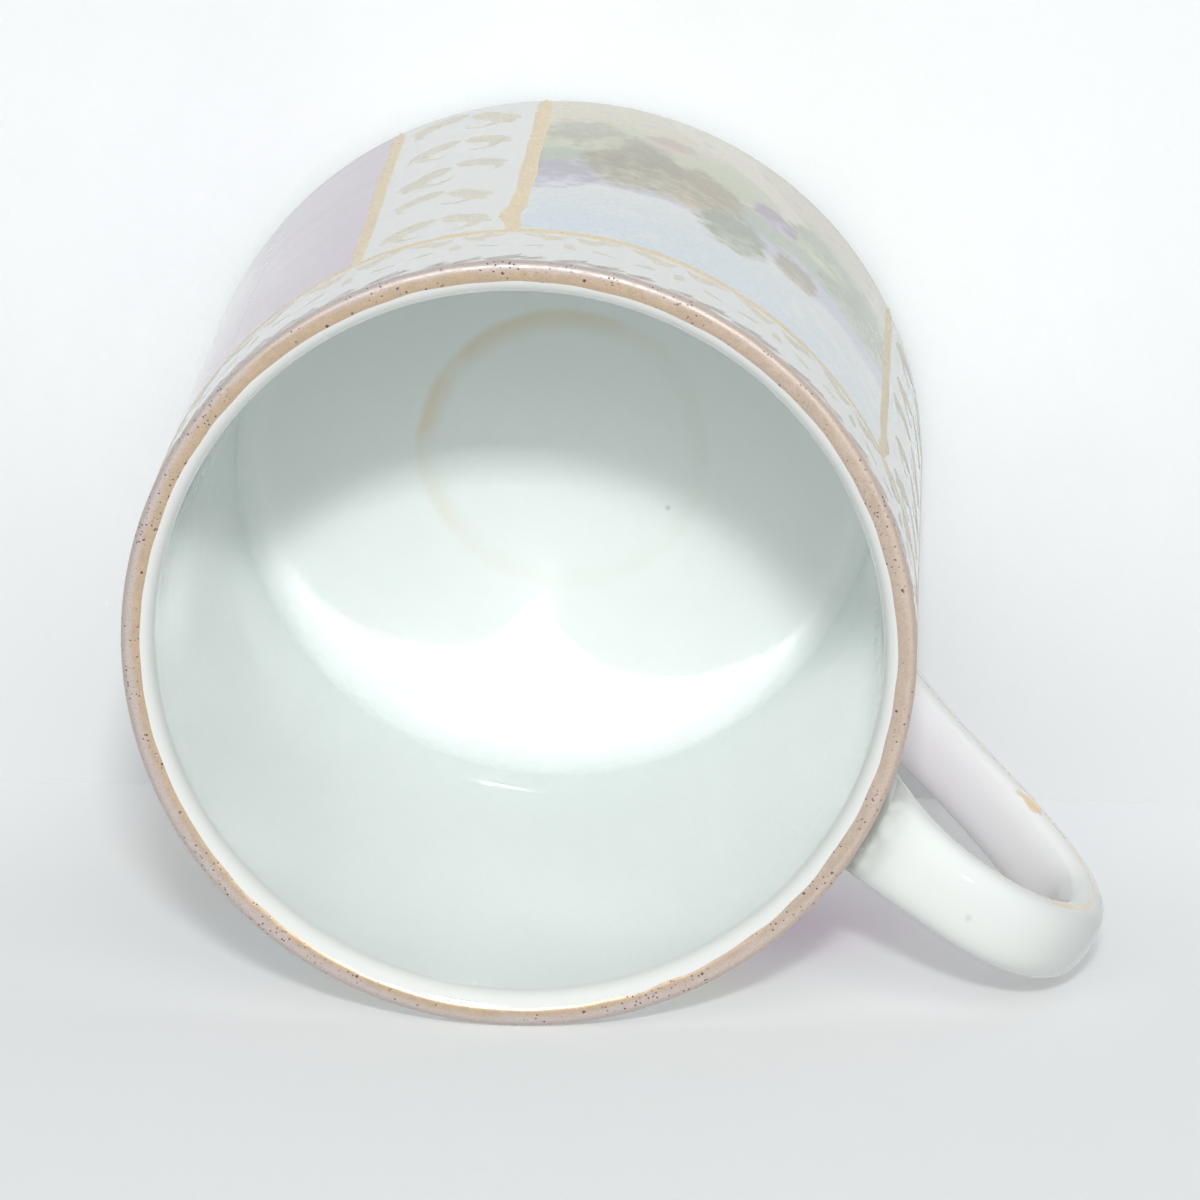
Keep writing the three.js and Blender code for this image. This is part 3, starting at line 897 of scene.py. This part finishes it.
def makeUprights(finish, sides, signs):
    # the gilt lines beside the painted panels and beside the lustre
    steps = 60
    height = np.linspace(decor["uprightFoot"], panels["collarHeight"], steps)
    ends = np.clip(np.sin(np.pi * np.linspace(0, 1, steps)) * 12, 0.05, 1)
    fromBulge = height - panels["collarHeight"] + decor["bulgeBelow"]
    swell = decor["frameBulge"] * np.exp(-(fromBulge / decor["bulgeLength"]) ** 2)
    lines = (
        (decor["frameWidth"], panels["paintedHalf"], swell),
        (decor["edgeWidth"], panels["lustreStart"], 0 * swell),
    )
    uprights = []
    for number, (side, sign) in enumerate(zip(sides, signs)):
        for width, degrees, bulge in lines:
            seed = 20 + number * 2 + int(degrees)
            sway = wobble(height / 16, 0.10, (1, 6), seed)
            half = width / 2 + wobble(height / 9, 0.06, (1, 7), seed + 50) + bulge * 0.3
            along = side + sign * (degrees * arcPerDegree + bulge) + sway
            uprights.append(np.stack([along, height, half * ends], -1))
    makeRibbons("panelLines", uprights, finish, brush["lineSides"])


def makeCollarLine(finish):
    # a circle on the wall whose width and level waver
    turn = np.linspace(0, 2 * np.pi, 360, endpoint=False)
    half = decor["circleWidth"] / 2 + wobble(turn, 0.10, (9, 46), 31)
    level = panels["collarHeight"] + wobble(turn, 0.08, (3, 20), 32)
    line = np.stack([turn * wallRadius, level, half], -1)
    makeRibbons("collarLine", [line], finish, brush["lineSides"], closedAlong=True)


def makeScrolls(finish, sides, signs):
    # sprays up the white panels, and pairs of C scrolls round the collar
    middle = (panels["paintedHalf"] + panels["lustreStart"]) / 2 * arcPerDegree
    levels = decor["firstRow"] + decor["rowPitch"] * np.arange(decor["rowCount"])
    across = np.repeat(sides + signs * middle, len(levels))
    places = np.stack([across, np.tile(levels, len(sides))], -1)
    chance = np.random.default_rng(5)
    strokes = []
    for flip in (-1.0, 1.0):
        for number, lean in enumerate((-0.9, 0.1, 0.9)):
            chosen = places[number if flip > 0 else 2 - number::3]
            sizes = chance.uniform(1.0, 1.25, len(chosen))
            strokes.append(repeated(panelScroll(lean), chosen, np.full(len(chosen), flip), sizes))
    makeRibbons("panelScrolls", np.concatenate(strokes), finish, brush["strokeSides"])

    waves = np.arange(decor["collarCount"])
    spacing = 2 * np.pi * wallRadius / decor["collarCount"]
    level = panels["collarHeight"] + decor["collarGap"]
    places = np.stack([waves * spacing, np.full(len(waves), level)], -1)
    strokes = []
    for flip in (-1.0, 1.0):
        sizes = chance.uniform(0.85, 1.0, len(places))
        strokes.append(repeated(collarScroll(), places, np.full(len(places), flip), sizes))
    makeRibbons("collarScrolls", np.concatenate(strokes), finish, brush["strokeSides"])


def makeFeathers(finish):
    # feathers at nearly even places round the rim
    chance = np.random.default_rng(9)
    count = decor["featherCount"]
    spacing = 2 * np.pi * wallRadius / count
    along = np.arange(count) * spacing + chance.uniform(-0.3, 0.3, count) * spacing
    level = cupHeight - decor["featherDrop"] - chance.uniform(0.0, 0.25, count)
    places = np.stack([along, level], -1)
    strokes = repeated(rimFeather(), places, np.ones(count), chance.uniform(0.6, 1.15, count))
    makeRibbons("rimFeathers", strokes, finish, brush["strokeSides"])


def makeGilding():
    line = brushedGold("lineGold", *decor["lineGold"])
    thin = brushedGold("thinGold", *decor["thinGold"])
    dark = brushedGold("darkGold", *decor["darkGold"])
    quarterTurn = 90 * arcPerDegree
    sides = np.array([-1, -1, 1, 1]) * quarterTurn
    signs = np.array([-1, 1, -1, 1])
    makeUprights(line, sides, signs)
    makeCollarLine(line)
    makeScrolls(thin, sides, signs)
    makeFeathers(dark)


# Stage, light and camera

stageLook = dict(
    up=Vector((0.520, -0.854, 0.0)),  # the backdrop's facing direction
    floorSize=3.0,
    backdropHeight=0.6,
    backdropHalf=1.5,
    floorNear=(0.84, 0.865, 0.875),  # beside the backdrop; with floorFar and floorFade, a painted gradient of light: darker by the backdrop, lighter away from it
    floorFar=(0.875, 0.905, 0.915),
    floorBounce=(0.50, 0.51, 0.51),  # what the floor throws back on the cup
    floorFade=(-30.0, 36.0),  # distance from the cup's axis, square to the backdrop
    sheetLow=(0.89, 0.915, 0.93),  # beside the floor; with sheetHigh and sheetFade, a painted gradient of light: lighter by the floor, darker higher up
    sheetHigh=(0.78, 0.795, 0.80),
    sheetLilacBounce=(0.70, 0.60, 0.69),  # painted reflection: lilac thrown from the cup's lustre near the handle onto the sheet
    lilacBouncePlace=(-20.5, 33.0),  # along the sheet and up
    lilacBounceReach=12.0,
    lilacBounceShare=0.6,
    sheetFade=(0.0, 45.0),
    sheetGlow=0.16,  # only as the camera sees it
)


def plainFinish(name, colour):
    material, tree, shader = newFinish(name, 0.9)
    shader.inputs["Specular IOR Level"].default_value = 0.1
    shader.inputs["Base Color"].default_value = (*colour, 1.0)
    return material, tree, shader


def stagePiece(name, points, faces, material):
    mesh = bpy.data.meshes.new(name)
    mesh.from_pydata(points.reshape(-1, 3).tolist(), [], faces)
    mesh.shade_smooth()
    mesh.materials.append(material)
    piece = bpy.data.objects.new(name, mesh)
    bpy.context.scene.collection.objects.link(piece)
    return piece


def makeStage():
    up = stageLook["up"].normalized()
    half = stageLook["floorSize"]
    floorFinish, tree, shader = plainFinish("paleFloor", stageLook["floorNear"])
    # painted light: the floor is darker by the backdrop and lighter away from it
    fade = ramp(tree, dot(tree, aboutAxis(tree), up), *stageLook["floorFade"])
    pale = tint(tree, fade, stageLook["floorNear"], stageLook["floorFar"])
    path = tree.nodes.new("ShaderNodeLightPath").outputs
    shown = calc(tree, "MAXIMUM", path["Is Camera Ray"], path["Is Glossy Ray"])
    feed(tree, tint(tree, shown, stageLook["floorBounce"], pale), shader.inputs["Base Color"])
    corners = np.array([(-half, -half, 0), (half, -half, 0), (half, half, 0), (-half, half, 0)])
    stagePiece("floor", corners, [[0, 1, 2, 3]], floorFinish)

    # a sheet that stands behind the cup; seen from its back it isn't there
    sheetFinish, tree, shader = plainFinish("paleBackdrop", stageLook["sheetLow"])
    point = aboutAxis(tree)
    level = splitXyz(tree, point)[2]
    # painted light: the sheet is lighter by the floor and darker higher up
    fade = ramp(tree, level, *stageLook["sheetFade"])
    pale = tint(tree, fade, stageLook["sheetLow"], stageLook["sheetHigh"])
    # painted reflection: lilac light from the cup's lustre laid on the sheet beside it
    side = Vector((0, 0, 1)).cross(up)
    aside = calc(tree, "SUBTRACT", dot(tree, point, side), stageLook["lilacBouncePlace"][0])
    above = calc(tree, "SUBTRACT", level, stageLook["lilacBouncePlace"][1])
    fromLilac = flatLength(tree, aside, above)
    lilac = ramp(tree, fromLilac, stageLook["lilacBounceReach"], 0.0, 0.0, stageLook["lilacBounceShare"])
    pale = tint(tree, lilac, pale, stageLook["sheetLilacBounce"])
    feed(tree, pale, shader.inputs["Base Color"])
    feed(tree, pale, shader.inputs["Emission Color"])
    seen = tree.nodes.new("ShaderNodeLightPath").outputs["Is Camera Ray"]
    feed(tree, calc(tree, "MULTIPLY", seen, stageLook["sheetGlow"]), shader.inputs["Emission Strength"])
    clear = tree.nodes.new("ShaderNodeBsdfTransparent")
    choose = tree.nodes.new("ShaderNodeMixShader")
    facing = tree.nodes.new("ShaderNodeNewGeometry").outputs["Backfacing"]
    tree.links.new(facing, choose.inputs[0])
    tree.links.new(shader.outputs[0], choose.inputs[1])
    tree.links.new(clear.outputs[0], choose.inputs[2])
    tree.links.new(choose.outputs[0], tree.nodes["Material Output"].inputs["Surface"])
    foot = Vector((axisX * mm, 0, 0)) - up * (wallRadius * mm + 0.0001)
    wide = side * stageLook["backdropHalf"]
    tall = Vector((0, 0, stageLook["backdropHeight"]))
    points = np.array([foot - wide, foot + wide, foot + wide + tall, foot - wide + tall])
    sheet = stagePiece("backdrop", points, [[0, 1, 2, 3]], sheetFinish)
    # it shows to the camera and takes shadows, and leaves the cup's light alone
    sheet.visible_diffuse = False
    sheet.visible_glossy = False
    sheet.visible_transmission = False
    sheet.visible_shadow = False


lights = dict(
    keyFrom=Vector((0.196, -0.442, 0.891)),
    keyDistance=0.9,
    keyWidth=0.085,  # level in the picture
    keyDepth=0.05,
    keyPower=3.75,
    keyColour=(0.985, 1.0, 1.0),
    skyColour=(0.99, 0.99, 0.985),
    skyAim=Vector((0.26, -0.427, 0.866)),  # the bright side of the room
    skySides=0.10,
    skyTop=1.55,
    skyRise=(0.64, 0.96),  # cosines from that side between which the room brightens
    fillAim=Vector((-0.585, 0.786, 0.20)),  # a low fill from the other side
    fillTop=1.9,
    fillRise=(0.80, 0.99),
    seenStrength=0.82,  # what the camera and polished surfaces see of the room
)


def lookFrom(place, aim, up):
    # a frame at a place that looks along its own -Z at the aim, with its own Y towards up
    ahead = (aim - place).normalized()
    right = ahead.cross(up).normalized()
    turn = Matrix((right, right.cross(ahead), -ahead)).transposed().to_4x4()
    return Matrix.Translation(place) @ turn


def makeLamp(name, place, aim, power, size):
    lamp = bpy.data.lights.new(name, "AREA")
    lamp.shape = "RECTANGLE"
    lamp.size, lamp.size_y = size
    lamp.energy = power
    piece = bpy.data.objects.new(name, lamp)
    piece.matrix_world = lookFrom(place, aim, stageLook["up"])
    bpy.context.scene.collection.objects.link(piece)
    return lamp


def makeLights():
    middle = Vector((axisX * mm, 0, cupHeight / 2 * mm))
    key = makeLamp("keyLamp", middle + lights["keyFrom"].normalized() * lights["keyDistance"], middle,
                   lights["keyPower"], (lights["keyWidth"], lights["keyDepth"]))
    key.color = lights["keyColour"]
    world = bpy.data.worlds.new("paleRoom")
    bpy.context.scene.world = world
    world.use_nodes = True
    tree = world.node_tree
    sky = tree.nodes["Background"]
    sky.inputs["Color"].default_value = (*lights["skyColour"], 1.0)
    path = tree.nodes.new("ShaderNodeLightPath").outputs
    polished = calc(tree, "MAXIMUM", path["Is Glossy Ray"], path["Is Transmission Ray"])
    seen = calc(tree, "MAXIMUM", path["Is Camera Ray"], polished)
    direction = tree.nodes.new("ShaderNodeTexCoord").outputs["Generated"]
    nearness = dot(tree, direction, lights["skyAim"])
    glow = ramp(tree, nearness, *lights["skyRise"], lights["skySides"], lights["skyTop"])
    fillNear = dot(tree, direction, lights["fillAim"])
    glow = calc(tree, "ADD", glow, ramp(tree, fillNear, *lights["fillRise"], 0.0, lights["fillTop"]))
    more = calc(tree, "MULTIPLY", seen, calc(tree, "SUBTRACT", lights["seenStrength"], glow))
    feed(tree, calc(tree, "ADD", glow, more), sky.inputs["Strength"])


cameraView = dict(
    place=Vector((64.06, -147.98, 571.51)) * mm,
    aim=Vector((7.58, -6.70, 59.0)) * mm,
    up=Vector((0.513, -0.809, -0.287)),
    lens=213.8,
    sensor=36.0,
)


def makeCamera():
    data = bpy.data.cameras.new("viewCamera")
    data.lens = cameraView["lens"]
    data.sensor_width = cameraView["sensor"]
    data.clip_start = 0.01
    data.clip_end = 50.0
    camera = bpy.data.objects.new("viewCamera", data)
    bpy.context.scene.collection.objects.link(camera)
    camera.matrix_world = lookFrom(cameraView["place"], cameraView["aim"], cameraView["up"])
    bpy.context.scene.camera = camera


makeCamera()
makeBody()
makeRim()
makeHandle()
lutingGlaze()
makeLuting("upperLuting", "upper_luting_slip", True)
makeLuting("lowerLuting", "lower_luting_slip", False)
makeGilding()
makeStage()
makeLights()
bpy.context.scene.view_settings.view_transform = "Standard"
# these two keep the light that the inner wall throws on the floor
bpy.context.scene.cycles.blur_glossy = 0.0
bpy.context.scene.cycles.sample_clamp_indirect = 0.0
print("scene ready")
